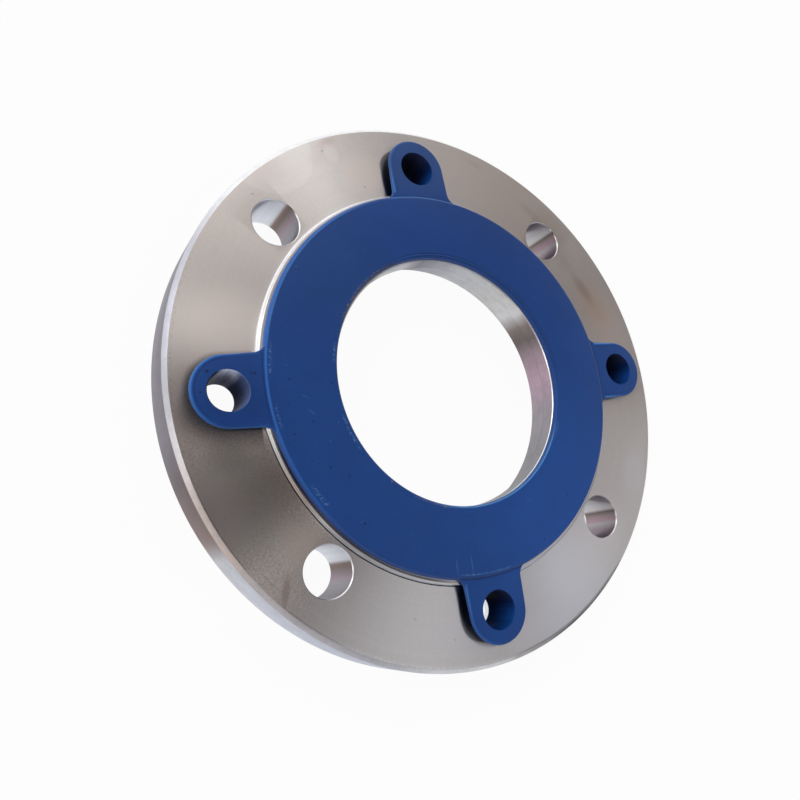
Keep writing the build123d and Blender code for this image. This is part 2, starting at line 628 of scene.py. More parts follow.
def addSpecks(tree, polar, colour, specks):
    # each row is a colour and its share, then the specks' spacing, size and chance
    for tint, share, spacing, size, chance in specks:
        mask = useGroup(tree, "sparseSpecks", {
            "Point": polar["Millimetres"], "Spacing": spacing, "Size": size,
            "Chance": chance})[0]
        colour = blendColour(tree, times(tree, mask, share), colour, tint)
    return colour


def addBump(tree, shader, height, strength, distance=0.0002):
    bump = addNode(tree, "Bump", {
        "Height": height, "Strength": strength, "Distance": distance}).outputs[0]
    tree.links.new(bump, shader.inputs["Normal"])


def setUpright(tree, shader):
    # the gloss of a wall spreads along the bore axis
    upright = addNode(tree, "CombineXYZ", {2: 1}).outputs[0]
    tree.links.new(upright, shader.inputs["Tangent"])


earCentre = tuple(value / mm for value in protector["settled"])


def addEarPlace(tree, polar):
    return useGroup(tree, "earPlace", {
        "Point": polar["Millimetres"], "Centre": earCentre, "Pitch": pitchRadius / mm})


steel = {
    "colour": (0.64, 0.60, 0.575),
    "roughness": 0.31,
    "stretchedGloss": 0.97,      # the turned marks spread the gloss across themselves
}


def newSteel(name):
    return newFinish(name, {
        "Metallic": 1, "Roughness": steel["roughness"], "Anisotropic": steel["stretchedGloss"]})


brownSteel = (0.40, 0.31, 0.26)
warmSteel = (0.66, 0.54, 0.46)
greySteel = (0.56, 0.59, 0.56)
lilacSteel = (0.62, 0.60, 0.63)
darkSteel = (0.12, 0.11, 0.105)
blackSteel = (0.02, 0.02, 0.03)
brightSteel = (0.85, 0.83, 0.82)
pinkSteel = (0.60, 0.50, 0.48)

# kind, colour, share; then an arc's radius, thickness, middle, reach and breakup in
# millimetres and degrees, or a spot's place, half sizes, turn and share of flat core
facedMarks = [
    # a faint painted highlight near the edge at the upper left
    ("spot", brightSteel, 0.16, (-62.5, 92.8, 20), (18, 18, 5), 0, 0.96),
    ("spot", pinkSteel, 0.22, (-63, 85, 20), (11, 9, 5), 30),
    ("spot", pinkSteel, 0.35, (-39, 98.4, 20), (7, 2.6, 5), 20),
    ("spot", brownSteel, 0.28, (-37, 100.3, 20), (5.5, 2.2, 5), 20),
    ("spot", pinkSteel, 0.38, (-36.6, 95, 20), (5.2, 6.2, 5), 15, 0.6),
    ("spot", brightSteel, 0.26, (-36.3, 94.6, 20), (4.4, 5.3, 5), 15, 0.45),
    ("spot", pinkSteel, 0.25, (-43.5, 92, 20), (6, 4, 5), 50, 0.4),
    # painted reflection: broad paler patches that set the face's tone round the part
    ("spot", (0.77, 0.72, 0.68), 0.75, (-86, 24, 20), (27, 19, 5), 0, 0.3),
    ("spot", (0.73, 0.65, 0.60), 0.75, (-24, 88, 20), (13, 12, 5), 20, 0.3),
    ("spot", (0.70, 0.62, 0.565), 0.8, (45, 84, 20), (46, 26, 5), -30, 0.4),
    ("spot", (0.78, 0.65, 0.58), 0.6, (91, 27, 20), (18, 26, 5), 20, 0),
    ("spot", (0.74, 0.70, 0.69), 0.75, (44, -80, 20), (40, 26, 5), 35, 0.2),
    ("spot", (0.72, 0.69, 0.70), 0.6, (22, -101, 20), (24, 10, 5), 12, 0.2),
    ("spot", (0.70, 0.67, 0.68), 0.6, (90, -46, 20), (10, 20, 5), -25, 0.2),
    ("spot", (0.68, 0.54, 0.44), 0.60, (86, 34, 20), (10, 20, 5), 25),
    ("spot", brownSteel, 0.50, (82.5, 40.5, 20), (4.2, 12, 5), 31),
    ("spot", darkSteel, 0.12, (74, 55, 20), (7, 11, 5), 38),
    ("spot", darkSteel, 0.14, (60, 77.8, 20), (9, 3.4, 5), -40),
    ("spot", darkSteel, 0.10, (33.7, 98.3, 20), (6, 2.5, 5), -20),
    ("spot", warmSteel, 0.55, (-71, -53, 20), (9, 14, 5), 36),
    # painted reflection: broad patches that set the face's tone at the lower left
    ("spot", greySteel, 0.75, (-90, -36, 20), (26, 28, 5), 20, 0.3),
    ("spot", (0.80, 0.79, 0.79), 0.6, (-99, -40, 20), (17, 24, 5), -10),
    ("spot", (0.70, 0.66, 0.63), 0.5, (-72, -55, 20), (14, 14, 5), 30),
    # painted shade and reflection of the left ear, below it
    ("spot", darkSteel, 0.25, (-92, -21, 20), (11, 8, 5), 0),
    # painted reflection: a lilac patch that sets the face's tone at the bottom
    ("spot", lilacSteel, 0.30, (-4, -96, 20), (34, 13, 5), 0),
    ("spot", brownSteel, 0.55, (-79.2, -67, 20), (1.8, 7.2, 5), -16, 0.3),
    ("spot", brightSteel, 0.12, (-76.5, -67.5, 20), (1.8, 6, 5), -16),
    ("spot", darkSteel, 0.45, (-40.3, 95.4, 20), (0.8, 0.7, 5), 0),
    ("spot", darkSteel, 0.35, (-71, 74.2, 20), (1.1, 0.6, 5), 0),
    ("spot", darkSteel, 0.5, (-24, 81.7, 20), (1.3, 0.4, 5), -35),
    ("spot", darkSteel, 0.3, (-19.2, -96.5, 20), (0.5, 0.9, 5), 0),
    ("spot", darkSteel, 0.25, (-34, -85.8, 20), (1.1, 0.8, 5), -30),
    ("arc", darkSteel, 0.6, 108.1, 0.3, 205, 9, 0.5),
    ("arc", darkSteel, 0.6, 108.0, 0.3, 228, 8, 0.5),
    ("arc", darkSteel, 0.25, 107.6, 0.9, 168, 20, 1),
    ("arc", darkSteel, 0.3, 105.2, 0.3, 217, 2.4, 0),
    ("arc", brightSteel, 0.6, 108.0, 0.9, 252, 24, 0.9),
    # painted dark reflection along the edge at the lower right
    ("arc", darkSteel, 0.7, 108.1, 0.7, 291, 20, 0.2),
    # painted shade on the sealing face's edge under the ring, at the lower left
    ("arc", blackSteel, 0.9, 78.0, 0.75, 224, 42, 0),
    ("arc", brownSteel, 0.6, 78.2, 0.4, 140, 36, 0),
    # painted shade on the sealing face's edge under the ring, at the lower right
    ("arc", blackSteel, 0.9, 78.7, 0.3, 308, 24, 0),
]
facedSpecks = [(brightSteel, 0.35, 5, 0.32, 0.3), (darkSteel, 0.35, 3.2, 0.26, 0.25)]

# painted reflection and shade: the dark side of an ear as the face beside it mirrors it, sharp
# beside the upper and lower ears, and a soft painted shade below the left ear
paintedEarReflection = {
    "colour": (0.035, 0.04, 0.06),
    "from": 79.3,                # radius about the bore axis
    "leftFrom": -79.5,
    "sharpMiddle": 185,          # about the plug, for the upper and the lower ear
    "sharpReach": (15.4, 12.2),
    "softMiddle": 260,           # for the left ear
    "softFrom": 12.4,
    "softWidth": (9, 3),
}


# paints the ears' dark reflection and shade onto the face beside them
def addPaintedEarReflection(tree, polar, colour, size):
    ear = addEarPlace(tree, polar)
    turn = angleOff(tree, ear["Turn"], size["sharpMiddle"])
    reach = rise(tree, turn, 12, 68, *size["sharpReach"])
    sharp = rise(tree, minus(tree, ear["Across"], reach), -0.8, 0.3, 0.75, 0)
    turn = angleOff(tree, ear["Turn"], size["softMiddle"])
    beside = maths(tree, "DIVIDE", minus(tree, ear["Across"], size["softFrom"]),
                   rise(tree, turn, 40, 90, *size["softWidth"]))
    soft = rise(tree, beside, 0, 1, 0.7, 0)
    x, y = split(tree, polar["Millimetres"])[:2]
    upright = rise(tree, maths(tree, "ABSOLUTE", y), 50, 60)
    left = times(tree, maths(tree, "LESS_THAN", x, size["leftFrom"]),
                 rise(tree, upright, 0, 1, 1, 0))
    dark = maths(tree, "MAXIMUM", times(tree, sharp, upright), times(tree, soft, left))
    dark = times(tree, dark, maths(tree, "GREATER_THAN", polar["Radius"], size["from"]))
    return blendColour(tree, dark, colour, size["colour"])


def makeFacedSteel():
    material, tree, shader, polar = newSteel("facedSteel")
    grain = addGrain(tree, polar, 0.36, 0.30)
    # the grain stands out most where the face is dark
    rough = addSpot(tree, polar, (-88, -38, 20), (50, 60, 30))
    weave = addGrain(tree, polar, 0.65, times(tree, rough, 1.7))["Tone"]
    lines = addLines(tree, polar["Radius"], polar["Angle"], 0.5, 0.10)
    tone = times(tree, grain["Tone"], weave, lines["Tone"])
    colour = addMarks(tree, polar, scaled(tree, steel["colour"], tone), facedMarks)
    # painted reflection and shade of the ears on the face beside them
    colour = addPaintedEarReflection(tree, polar, colour, paintedEarReflection)
    colour = addSpecks(tree, polar, colour, facedSpecks)
    tree.links.new(colour, shader.inputs["Base Color"])
    tangent = addNode(tree, "Tangent", direction_type="RADIAL", axis="Z").outputs[0]
    tree.links.new(tangent, shader.inputs["Tangent"])
    shader.inputs["Anisotropic Rotation"].default_value = 0.25
    addBump(tree, shader, maths(tree, "ADD", grain["Height"], lines["Height"]), 0.03)
    return material


# painted reflections round the turned walls: tones by the angle from a line where each breaks
rimPaintedReflection = [
    (-180, (0.34, 0.34, 0.38)),
    (-110, (0.27, 0.27, 0.31)),
    (-40, (0.21, 0.19, 0.23)),
    (-22, (0.21, 0.19, 0.23)),
    (-13, (0.14, 0.11, 0.12)),
    (-2, (0.24, 0.17, 0.155)),
    (2, (0.56, 0.57, 0.62)),
    (9, (0.58, 0.60, 0.68)),
    (28, (0.48, 0.51, 0.60)),
    (120, (0.42, 0.43, 0.47)),
    (180, (0.34, 0.34, 0.38)),
]
borePaintedReflection = [
    (-180, (0.38, 0.38, 0.40)),
    (-95, (0.26, 0.26, 0.28)),
    (-50, (0.32, 0.30, 0.33)),
    (-32, (0.47, 0.34, 0.42)),
    (-20, (0.34, 0.26, 0.30)),
    (-11, (0.16, 0.14, 0.14)),
    (-4, (0.24, 0.20, 0.19)),
    (3, (0.64, 0.64, 0.66)),
    (15, (0.57, 0.57, 0.58)),
    (38, (0.50, 0.51, 0.54)),
    (53, (0.34, 0.35, 0.39)),
    (63, (0.20, 0.20, 0.24)),
    (72, (0.50, 0.50, 0.52)),
    (180, (0.38, 0.38, 0.40)),
]
# painted reflection round the raised face's wall
shoulderPaintedReflection = [
    (-180, (0.80, 0.83, 0.90)),
    (-110, (0.90, 0.93, 1.00)),
    (-14, (0.93, 0.97, 1.00)),
    (-5, (1.00, 0.88, 0.85)),
    (1, (0.74, 0.64, 0.59)),
    (8, (0.74, 0.78, 0.85)),
    (60, (0.72, 0.75, 0.82)),
    (180, (0.80, 0.83, 0.90)),
]
# painted shade at the foot of the raised face's wall and painted highlights up it, by height
shoulderPaintedLightByHeight = [
    (20.0, (0.03, 0.03, 0.03)),
    (20.22, (0.05, 0.05, 0.05)),
    (20.4, (1.0, 1.0, 1.0)),
    (20.7, (0.95, 0.95, 0.95)),
    (20.95, (0.93, 0.92, 0.92)),
    (21.6, (0.97, 0.96, 0.96)),
    (21.75, (1.0, 1.0, 1.0)),
]
# painted reflection round the front chamfer
chamferPaintedReflection = [
    (-180, (0.62, 0.62, 0.64)),
    (-145, (0.24, 0.24, 0.25)),
    (-125, (0.10, 0.10, 0.11)),
    (-104, (0.66, 0.66, 0.69)),
    (-90, (0.64, 0.64, 0.67)),
    (-78, (0.42, 0.42, 0.46)),
    (-50, (0.48, 0.45, 0.46)),
    (-44, (0.66, 0.55, 0.51)),
    (-34, (0.66, 0.58, 0.54)),
    (-22, (0.62, 0.61, 0.64)),
    (0, (0.51, 0.52, 0.59)),
    (14, (0.57, 0.58, 0.64)),
    (30, (0.95, 0.96, 1.00)),
    (75, (0.97, 0.97, 1.00)),
    (95, (0.80, 0.80, 0.82)),
    (115, (0.95, 0.95, 0.97)),
    (130, (0.32, 0.32, 0.34)),
    (145, (0.26, 0.26, 0.28)),
    (165, (0.74, 0.74, 0.76)),
    (180, (0.62, 0.62, 0.64)),
]
# where the walls' painted reflections begin, in degrees, and what tells the walls apart, in
# millimetres
walls = {
    "rimBreak": 207.5,
    "boreBreak": 32,
    "chamferBreak": 165,
    "shoulderBreak": 208,
    "upperLeftBreak": 56,        # in the four open holes
    "upperRightBreak": 36,
    "lowerBreak": 15,
    "rimFrom": 100,
    "boreTo": 60,
    "pluggedWithin": 20,         # of the lines through the ears
    "boltFace": flange["boltFace"] / mm,
    "chamferFoot": (flange["boltFace"] - flange["frontChamfer"]) / mm,
    "boreEnd": (flange["socketDepth"] + flange["boreEnd"] / 2) / mm,
    "mouthFoot": (flange["sealingFace"] - flange["boreMouth"]) / mm,
    "sinkFoot": (flange["boltFace"] - flange["holeChamfer"]) / mm,
}


def addPaintedBoreLines(tree, angle, height, inside, colour):
    # painted shade where the bore ends and at the socket's mouth, a painted highlight at the
    # bore's front edge
    fromEnd = maths(tree, "ABSOLUTE", minus(tree, height, walls["boreEnd"]))
    end = times(tree, rise(tree, fromEnd, 0.25, 0.45, 1, 0),
                rise(tree, angleOff(tree, angle, -15), 25, 45, 0.6, 0.1))
    end = maths(tree, "MAXIMUM", end, rise(tree, height, 0.6, 1.1, 0.8, 0))
    colour = blendColour(tree, times(tree, inside, end), colour, (0.10, 0.10, 0.11))
    foot = walls["mouthFoot"]
    mouth = times(tree, rise(tree, height, foot - 0.05, foot + 0.05),
                  rise(tree, angleOff(tree, angle, -20), 45, 60, 1, 0.1))
    return blendColour(tree, times(tree, inside, mouth), colour, (1, 1, 1))


def makeTurnedSteel():
    # rim, bore, chamfers and shoulder each keep their own painted reflections round the part
    material, tree, shader, polar = newSteel("turnedSteel")
    angle, height = polar["Angle"], polar["Height"]
    rim = addRamp(tree, angleFrom(tree, angle, walls["rimBreak"]), rimPaintedReflection)
    bore = addRamp(tree, angleFrom(tree, angle, walls["boreBreak"]), borePaintedReflection)
    fromBreak = times(tree, angleFrom(tree, angle, walls["chamferBreak"]), -1)
    chamfer = addRamp(tree, fromBreak, chamferPaintedReflection)
    fromBreak = angleFrom(tree, angle, walls["shoulderBreak"])
    shoulder = addRamp(tree, fromBreak, shoulderPaintedReflection)
    deeper = rise(tree, fromBreak, -60, -10, 0.12, 1)
    shoulder = blendColour(
        tree, deeper, shoulder, addRamp(tree, height, shoulderPaintedLightByHeight, 20, 22), "MULTIPLY")
    outside = maths(tree, "GREATER_THAN", polar["Radius"], walls["rimFrom"])
    inside = maths(tree, "LESS_THAN", polar["Radius"], walls["boreTo"])
    colour = blendColour(tree, outside, shoulder, rim)
    colour = blendColour(tree, inside, colour, bore)
    foot = walls["chamferFoot"]
    upper = times(tree, outside, rise(tree, height, foot - 0.1, foot + 0.1))
    colour = blendColour(tree, upper, colour, chamfer)
    colour = addPaintedBoreLines(tree, angle, height, inside, colour)
    # a painted bluish reflection where the chamfer meets the face
    top = walls["boltFace"]
    lip = times(tree, rise(tree, height, top - 0.35, top - 0.05, 0, 0.4),
                rise(tree, angleOff(tree, angle, 110), 40, 60), upper)
    colour = blendColour(tree, lip, colour, (0.46, 0.50, 0.58))
    stain = addGrain(tree, polar, 5, 0.45)["Tone"]
    grain = addGrain(tree, polar, 0.7, 0.3)["Tone"]
    lines = addLines(tree, height, angle, 0.45, 0.26)
    tone = times(tree, grain, stain, lines["Tone"])
    tree.links.new(scaled(tree, colour, tone), shader.inputs["Base Color"])
    # a line of dull burr along the edge at the lower right
    burr = times(tree, upper, rise(tree, angleOff(tree, angle, 291), 14, 20, 1, 0))
    tree.links.new(minus(tree, 1, burr), shader.inputs["Metallic"])
    tree.links.new(rise(tree, burr, 0, 1, steel["roughness"], 1), shader.inputs["Roughness"])
    setUpright(tree, shader)
    addBump(tree, shader, lines["Height"], 0.08)
    return material


# painted reflections on the walls of the two open holes at the left, and of the two at the right
leftHolePaintedReflection = [
    (-180, (0.36, 0.36, 0.39)),
    (-90, (0.22, 0.21, 0.24)),
    (-60, (0.33, 0.32, 0.35)),
    (-45, (0.38, 0.35, 0.39)),
    (-33, (0.38, 0.29, 0.34)),
    (-22, (0.28, 0.24, 0.25)),
    (-12, (0.24, 0.18, 0.16)),
    (-4, (0.28, 0.21, 0.19)),
    (4, (0.78, 0.81, 0.88)),
    (40, (0.83, 0.86, 0.94)),
    (90, (0.50, 0.50, 0.55)),
    (180, (0.36, 0.36, 0.39)),
]
rightHolePaintedReflection = [
    (-180, (0.36, 0.34, 0.37)),
    (-90, (0.26, 0.23, 0.26)),
    (-58, (0.34, 0.27, 0.31)),
    (-38, (0.43, 0.41, 0.43)),
    (-26, (0.44, 0.30, 0.35)),
    (-15, (0.33, 0.27, 0.28)),
    (-5, (0.19, 0.155, 0.14)),
    (3, (0.64, 0.62, 0.64)),
    (20, (0.56, 0.55, 0.58)),
    (60, (0.46, 0.45, 0.48)),
    (180, (0.36, 0.34, 0.37)),
]


def makeDrilledSteel():
    material, tree, shader, polar = newSteel("drilledSteel")
    place = split(tree, polar["Millimetres"])[:2]
    offset = pitchRadius / math.sqrt(2) / mm
    signs = [maths(tree, "SIGN", part) for part in place]
    away = [maths(tree, "MULTIPLY_ADD", sign, -offset, part) for sign, part in zip(signs, place)]
    angle = bearing(tree, *away)
    right, upper = (rise(tree, sign, -0.5, 0.5) for sign in signs)
    # the line between the painted reflection tones moves a little from hole to hole
    left, low = walls["upperLeftBreak"], walls["lowerBreak"]
    raised = maths(tree, "MULTIPLY_ADD", right, walls["upperRightBreak"] - left, left - low)
    turn = angleFrom(tree, angle, maths(tree, "MULTIPLY_ADD", upper, raised, low))
    colour = blendColour(
        tree, right, addRamp(tree, turn, leftHolePaintedReflection), addRamp(tree, turn, rightHolePaintedReflection))
    # a painted highlight where the countersink catches the light on its far side, at the left
    # more than at the right
    foot = walls["sinkFoot"]
    sink = times(tree, rise(tree, polar["Height"], foot - 0.05, foot + 0.05),
                 rise(tree, angleOff(tree, angle, -35), 45, 75, 1, 0),
                 rise(tree, right, 0, 1, 1, 0.5))
    colour = blendColour(tree, sink, colour, (1, 1, 1))
    # only the foot of a plugged hole shows, painted pale as a reflection of the floor
    across = maths(tree, "MINIMUM", *(maths(tree, "ABSOLUTE", part) for part in place))
    plugged = maths(tree, "LESS_THAN", across, walls["pluggedWithin"])
    colour = blendColour(tree, plugged, colour, (0.92, 0.94, 1.0))
    lines = addLines(tree, polar["Height"], angle, 0.3, 0.16)
    streaks = addLines(tree, angle, polar["Height"], 4, 0.4)
    tone = times(tree, lines["Tone"], streaks["Tone"])
    tree.links.new(scaled(tree, colour, tone), shader.inputs["Base Color"])
    setUpright(tree, shader)
    return material


moulded = {
    "colour": (0.009, 0.052, 0.224),
    "roughness": 0.42,
    "gloss": 0.26,
    "edgeRoughness": 0.34,
    "edgeGloss": 0.4,
    "hollowRoughness": 0.30,
    "hollowGloss": 0.004,
}

paleBlue = (0.13, 0.30, 0.56)
edgeBlue = (0.012, 0.115, 0.44)
lightBlue = (0.09, 0.30, 0.62)
deepBlue = (0.004, 0.022, 0.10)
pitBlack = (0.003, 0.006, 0.018)
dustGold = (0.22, 0.20, 0.14)
dustBrown = (0.09, 0.065, 0.035)

mouldedMarks = [
    # painted sheen and shade: lighter at the lower right and over the upper ear, darker at the
    # upper right and over the left ear, purplish at the upper left
    ("spot", (0.012, 0.068, 0.29), 0.85, (48, -62, 22), (95, 70, 40), -50),
    ("spot", (0.007, 0.041, 0.19), 0.75, (45, 70, 22), (75, 50, 40), -40),
    ("spot", (0.015, 0.055, 0.20), 0.6, (-45, 40, 22), (40, 40, 40), 0),
    ("spot", (0.024, 0.068, 0.22), 0.7, (0, 92, 22), (26, 20, 40), 0, 0.4),
    ("spot", (0.006, 0.042, 0.19), 0.8, (-88, -6, 22), (20, 13, 40), 0, 0.3),
    ("spot", deepBlue, 0.25, (-85, 0, 22), (16, 14, 20), 0),
    # painted highlights along the ring's upper edge, painted shade below it where the ears leave
    # the ring, and pale broken scuffs
    ("arc", deepBlue, 0.8, 77.3, 0.9, 270, 15, 0),
    ("arc", deepBlue, 0.6, 77.3, 0.7, 0, 13, 0),
    ("arc", lightBlue, 0.5, 76.9, 0.5, 90, 15, 0),
    ("arc", lightBlue, 0.5, 77.1, 0.45, 48, 36, 0.2),
    ("arc", edgeBlue, 0.8, 76.9, 0.8, 165, 62, 0),
    ("arc", lightBlue, 0.35, 76.6, 0.5, 140, 34, 0.3),
    ("arc", deepBlue, 0.7, 77.95, 0.4, 180, 11, 0),
    ("arc", paleBlue, 0.6, 75.3, 0.9, 172, 5, 0.95),
    ("arc", paleBlue, 0.45, 75.3, 0.8, 188, 4, 0.95),
    ("arc", paleBlue, 0.5, 74.8, 1.3, 211, 4, 0.97),
    ("arc", paleBlue, 0.6, 75.9, 0.5, 268, 10, 0.8),
    # the lip round the ring's bore: painted shade and painted highlights along its edges, then
    # dust and scuffs
    ("arc", deepBlue, 0.9, 52.4, 0.4, 55, 65, 0),
    ("arc", lightBlue, 0.08, 51.9, 0.35, 55, 65, 0),
    ("arc", lightBlue, 0.7, 50.9, 0.5, 292, 48, 0),
    ("arc", deepBlue, 0.9, 51.3, 0.4, 55, 65, 0),
    ("arc", dustBrown, 0.5, 50.7, 0.35, 165, 45, 0.2),
    ("arc", paleBlue, 0.5, 52.2, 0.9, 200, 9, 0.95),
    ("arc", paleBlue, 0.5, 51.9, 0.9, 167, 5, 0.9),
    ("arc", dustBrown, 0.8, 51.0, 0.8, 130, 24, 0.5),
    ("arc", dustGold, 0.6, 51.6, 0.6, 135, 20, 0.95),
    ("arc", dustGold, 0.6, 51.4, 0.6, 247, 12, 0.9),
    ("arc", paleBlue, 0.5, 52, 0.7, 332, 5, 0.9),
    ("spot", dustGold, 0.8, (-36.3, -36.7, 24), (0.6, 0.5, 5), 0),
    ("spot", paleBlue, 0.22, (-15.5, -70.8, 24), (0.4, 4, 5), -3),
    ("spot", paleBlue, 0.22, (-8.8, -71.3, 24), (0.4, 5, 5), -3),
    ("spot", paleBlue, 0.06, (-4.5, -65, 24), (0.4, 5, 5), -3),
    ("spot", paleBlue, 0.14, (-64.4, -3.3, 24), (2.2, 0.5, 5), -30),
    ("spot", paleBlue, 0.14, (-62.7, -9.1, 24), (2.6, 0.5, 5), -40),
]
mouldedPits = [
    (-69.1, 3.1, 0.65), (-53.5, 0.8, 0.5), (-62.9, -12.4, 0.45), (-70, -16.3, 0.5),
    (-58.9, -29, 0.6), (-52.5, -33, 0.5), (-65.3, -26.1, 0.4), (-49.5, -49.8, 0.7),
    (-81.9, 5.9, 0.6), (-80.7, 5.8, 0.6), (-96.6, 7.2, 0.9), (-99.6, 0.3, 0.5),
    (43.7, -52.1, 0.6), (27.3, -67.7, 0.5),
]
mouldedMarks += [
    ("spot", pitBlack, 0.8, (x, y, 24), (size, size, 5), 0) for x, y, size in mouldedPits]
dustSpecks = [                   # the finest ones lie close together
    (paleBlue, 0.55, 3.2, 0.30, 0.4),
    (pitBlack, 0.70, 5.5, 0.38, 0.4),
    (paleBlue, 0.18, 1.3, 0.22, 0.35),
    (pitBlack, 0.25, 1.5, 0.22, 0.35),
]
# painted edge light and shade on the ears: colour, share, distance from the ear's middle line,
# half thickness
earPaintedEdgeLight = [
    (deepBlue, 0.5, 11.2, 0.6),
    (edgeBlue, 1.0, 12.25, 0.8),
    (lightBlue, 1.0, 12.55, 0.3),
]


def newPlastic(name, roughness, gloss):
    return newFinish(name, {
        "Metallic": 0, "Roughness": roughness, "IOR": 1.49, "Specular IOR Level": gloss},
        earCentre)


def addPaintedEarEdgeLight(tree, polar, colour):
    # a painted highlight along the upper edge of each ear's left side, and painted shade inside
    # it
    ear = addEarPlace(tree, polar)
    upper = rise(tree, split(tree, polar["Millimetres"])[1], -60, -20, 0.4, 1)
    side = times(tree, rise(tree, angleOff(tree, ear["Turn"], 165), 50, 110, 1, 0.12), upper,
                 maths(tree, "GREATER_THAN", polar["Radius"], 79.2))
    for tint, share, at, thickness in earPaintedEdgeLight:
        off = maths(tree, "ABSOLUTE", minus(tree, ear["Across"], at))
        line = rise(tree, off, 0, thickness, share, 0)
        colour = blendColour(tree, times(tree, line, side), colour, tint)
    return colour


def makeMouldedBlue():
    material, tree, shader, polar = newPlastic(
        "mouldedBlue", moulded["roughness"], moulded["gloss"])
    grain = addGrain(tree, polar, 0.6, 0.3)
    cloud = addGrain(tree, polar, 14, 0.3)["Tone"]
    colour = addPaintedEarEdgeLight(tree, polar, moulded["colour"])
    colour = addMarks(tree, polar, colour, mouldedMarks)
    colour = scaled(tree, colour, times(tree, grain["Tone"], cloud))
    colour = addSpecks(tree, polar, colour, dustSpecks)
    tree.links.new(colour, shader.inputs["Base Color"])
    addBump(tree, shader, grain["Height"], 0.12)
    return material


def makeMouldedEdge():
    # the sides of ring and ears are painted lighter where they face the light, most of all at the
    # upper left, with a painted highlight along the ears' lower edge
    material, tree, shader, polar = newPlastic(
        "mouldedEdge", moulded["edgeRoughness"], moulded["edgeGloss"])
    paintedLightShare = addSpot(tree, polar, (-75, 55, 22), (95, 95, 80), 0, 0.4)
    colour = blendColour(tree, paintedLightShare, moulded["colour"], edgeBlue)
    onEar = maths(tree, "GREATER_THAN", polar["Radius"], 79)
    foot = times(tree, onEar, rise(tree, polar["Height"], 22.85, 23.05, 1, 0), paintedLightShare)
    colour = blendColour(tree, foot, colour, lightBlue)
    colour = scaled(tree, colour, addGrain(tree, polar, 0.7, 0.5)["Tone"])
    colour = addSpecks(tree, polar, colour, dustSpecks)
    tree.links.new(colour, shader.inputs["Base Color"])
    return material


# painted light and shade round the inside of each plug, by the angle about its axis
hollowPaintedLight = [
    (-180, (0.002, 0.008, 0.03)),
    (-100, (0.004, 0.022, 0.10)),
    (-50, (0.006, 0.045, 0.20)),
    (-12, (0.008, 0.045, 0.21)),
    (15, (0.006, 0.022, 0.10)),
    (45, (0.016, 0.022, 0.06)),
    (100, (0.014, 0.020, 0.045)),
    (150, (0.002, 0.004, 0.016)),
    (180, (0.002, 0.008, 0.03)),
]
# painted light on the left plug's inner wall, and a painted highlight on it
hollowPaintedLightSpots = [
    ("spot", (0.10, 0.14, 0.30), 0.9, (-86, 1, 16), (10, 12, 20), 0, 0.5),
    ("spot", (0.75, 0.82, 1.00), 0.85, (-89.3, 6.6, 14), (5.2, 3.4, 18), -15, 0.5),
]


def makeMouldedHollow():
    # inside the plugs: smooth, with painted shade near black in the depth and painted blue light
    # where light comes through
    material, tree, shader, polar = newPlastic(
        "mouldedHollow", moulded["hollowRoughness"], moulded["hollowGloss"])
    angle, height = addEarPlace(tree, polar)["Turn"], polar["Height"]
    colour = addMarks(tree, polar, addRamp(tree, angle, hollowPaintedLight), hollowPaintedLightSpots)
    # painted shade, darker deeper down the plug
    depth = rise(tree, height, 10, 23, 0.35, 1)
    streaks = addLines(tree, angle, height, 7, 1.6)
    colour = scaled(tree, colour, times(tree, depth, streaks["Tone"]))
    end = protector["plugEnd"] / mm
    tip = rise(tree, height, end + 0.4, end + 0.6, 0.8, 0)
    colour = blendColour(tree, tip, colour, (0.004, 0.06, 0.10))
    tree.links.new(colour, shader.inputs["Base Color"])
    addBump(tree, shader, streaks["Height"], 0.25, 0.0006)
    return material


def fromNearest(place, pitch):
    # distance from the axis of the nearest hole or plug, one in every so many degrees
    turn = math.radians(round(math.degrees(math.atan2(place.y, place.x)) / pitch) * pitch)
    return math.hypot(place.x - pitchRadius * math.cos(turn),
                      place.y - pitchRadius * math.sin(turn))


def finishFlange(piece):
    # faced, turned and drilled surfaces, told apart by place and direction
    for material in (makeFacedSteel(), makeTurnedSteel(), makeDrilledSteel()):
        piece.data.materials.append(material)
    for face in piece.data.polygons:
        flat = abs(face.normal.z) > 0.99
        inHole = fromNearest(face.center, 360 / holeCount) < holeRadius + flange["holeChamfer"]
        face.material_index = 0 if flat else 2 if inHole else 1


def finishProtector(piece):
    # top and hidden surfaces, outer sides, and the insides of the plugs; a side is a face
    # whose normal rises less than this
    steepest = 0.72
    for material in (makeMouldedBlue(), makeMouldedEdge(), makeMouldedHollow()):
        piece.data.materials.append(material)
    settled = Vector(protector["settled"])
    mouthRadius = protector["plugRoot"] - protector["plugWall"] + protector["mouthEdge"]
    beyondPlug, beyondRing = 9.5 * mm, 70 * mm
    for face in piece.data.polygons:
        place = face.center - settled
        fromPlug = fromNearest(place, 90)
        upright = abs(face.normal.z) < steepest
        inside = fromPlug < mouthRadius + 0.1 * mm
        outside = fromPlug > beyondPlug and math.hypot(place.x, place.y) > beyondRing
        face.material_index = 2 if upright and inside else 1 if upright and outside else 0


finishFlange(steelFlange)
finishProtector(mouldedProtector)
print("finishes:", ", ".join(material.name for material in bpy.data.materials))


# floor, light and camera

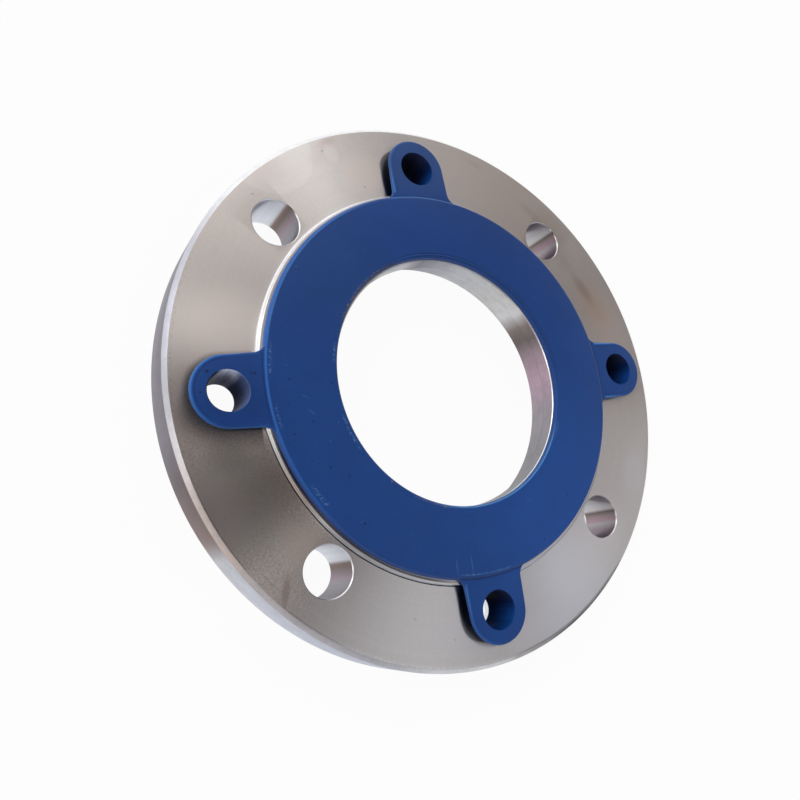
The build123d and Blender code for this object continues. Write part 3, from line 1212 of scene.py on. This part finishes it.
studio = {
    "floorSize": 60,
    "floorDrop": 0.05 * mm,              # the floor lies a hair below the part
    "floorGrey": 0.85,
    "floorGlow": 0.95,                   # share of plain white in what the camera sees of it
    "backdropHeight": (0.42, 0.64),      # sine of the elevation where the white backdrop ends
    "ceiling": (0.035, 0.005, 0.0),
    # azimuth, elevation, spread in degrees, strength, tint
    "lights": [
        (91, 25, 29.7, 3.10, (1.01, 1.00, 0.99)),
        (137, 44, 11.3, 5.36, (1.0, 1.0, 1.0)),
        (-48, 57, 14.3, 1.25, (0.93, 1.00, 1.07)),
        (5, 55, 2.7, 6.5, (0.88, 0.99, 1.12)),
        (-25, 34, 5.6, 1.07, (0.58, 0.96, 1.47)),
        (69, 42, 3.1, 4.19, (0.94, 1.02, 1.04)),
        (-121, 61, 5.9, 4.45, (1.06, 1.01, 0.93)),
        (180, 43, 9.8, 4.08, (1.02, 1.00, 0.98)),
    ],
}


def makeFloor(size):
    bpy.ops.object.select_all(action="DESELECT")
    bpy.ops.mesh.primitive_plane_add(size=size["floorSize"], location=(0, 0, -size["floorDrop"]))
    floor = bpy.context.object
    floor.name = "studio_floor"
    material = bpy.data.materials.new("paleFloor")
    material.use_nodes = True
    tree = material.node_tree
    tree.nodes.clear()
    grey = (*[size["floorGrey"]] * 3, 1)
    paint = addNode(tree, "BsdfDiffuse", {"Color": grey}).outputs[0]
    glow = addNode(tree, "Emission", {"Strength": 1}).outputs[0]
    path = addNode(tree, "LightPath").outputs
    seen = maths(tree, "MAXIMUM", path["Is Camera Ray"], maths(
        tree, "MAXIMUM", path["Is Glossy Ray"], path["Is Transmission Ray"]))
    share = times(tree, seen, size["floorGlow"])
    surface = addNode(tree, "MixShader", {0: share, 1: paint, 2: glow}).outputs[0]
    addNode(tree, "OutputMaterial", {"Surface": surface})
    floor.data.materials.append(material)


def makeWorld(size):
    world = bpy.data.worlds.new("studio")
    bpy.context.scene.world = world
    world.use_nodes = True
    tree = world.node_tree
    direction = addNode(tree, "TexCoord").outputs["Generated"]
    total = addNode(tree, "CombineXYZ", dict(enumerate(size["ceiling"]))).outputs[0]
    for azimuth, elevation, spread, strength, tint in size["lights"]:
        turn, tilt = math.radians(azimuth), math.radians(elevation)
        aim = (math.cos(tilt) * math.cos(turn), math.cos(tilt) * math.sin(turn), math.sin(tilt))
        nearness = addNode(tree, "VectorMath", {0: direction, 1: aim},
                           operation="DOT_PRODUCT").outputs["Value"]
        sharpness = 1 / (1 - math.cos(math.radians(spread)))
        fall = maths(tree, "EXPONENT", times(tree, minus(tree, nearness, 1), sharpness))
        total = vectors(tree, "ADD", total, scaled(tree, tint, times(tree, fall, strength)))
    above = rise(tree, split(tree, direction)[2], *size["backdropHeight"])
    colour = blendColour(tree, above, (1, 1, 1), total)
    background = tree.nodes["Background"]
    tree.links.new(colour, background.inputs["Color"])
    background.inputs["Strength"].default_value = 1


# where the camera stands, in metres, and the three directions of its picture
camera = {
    "place": (-0.16381, -0.05576, 0.26252),
    "right": (0.83570, -0.17881, 0.51925),
    "up": (0.05879, 0.96921, 0.23913),
    "back": (-0.54602, -0.16931, 0.82048),
    "lens": 33.54,
    "shift": (-0.0612, -0.0058),
}


def makeCamera(size):
    data = bpy.data.cameras.new("camera")
    data.sensor_width = 36
    data.lens = size["lens"]
    data.shift_x, data.shift_y = size["shift"]
    data.clip_start = 0.01
    data.clip_end = 100
    cameraObject = bpy.data.objects.new("camera", data)
    bpy.context.scene.collection.objects.link(cameraObject)
    turn = Matrix((size["right"], size["up"], size["back"])).transposed()
    cameraObject.matrix_world = Matrix.Translation(size["place"]) @ turn.to_4x4()
    bpy.context.scene.camera = cameraObject


makeFloor(studio)
makeWorld(studio)
makeCamera(camera)
bpy.context.scene.view_settings.view_transform = "Standard"
print("floor, world and camera made")
